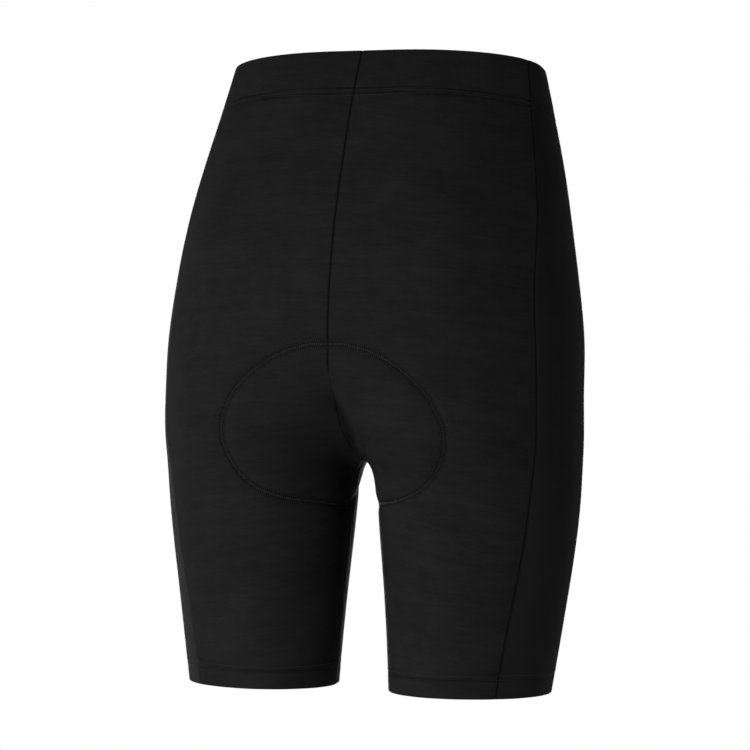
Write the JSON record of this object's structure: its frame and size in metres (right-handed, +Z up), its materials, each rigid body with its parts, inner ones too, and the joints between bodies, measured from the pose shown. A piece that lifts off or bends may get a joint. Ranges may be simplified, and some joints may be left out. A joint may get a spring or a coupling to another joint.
{
  "type": "cycling shorts",
  "caption": "Close-fitting knitted cycling shorts in their worn shape, open at waist and hems, with darker side panels and a sewn-in seat pad.",
  "frame": {"origin": "the middle of the waist opening, where the wearer holds the shorts up", "axes": "+Z up out of the waist opening, -Y towards the front, +Y towards the seat, +X towards the wearer's left"},
  "size_m": [0.3472, 0.2379, 0.5168],
  "materials": {
    "back_left": "matt black stretch knit with a faint sheen",
    "back_right": "matt black stretch knit with a faint sheen",
    "front_left": "matt black stretch knit with a faint sheen",
    "front_right": "matt black stretch knit with a faint sheen",
    "side_left": "deeper black stretch knit",
    "side_right": "deeper black stretch knit",
    "seat_pad": "matt brushed fleece over foam"
  },
  "bodies": {
    "root": {"back_left": "back_left", "back_right": "back_right", "front_left": "front_left", "front_right": "front_right", "side_left": "side_left", "side_right": "side_right", "seat_pad": "seat_pad"}
  },
  "joints": []
}
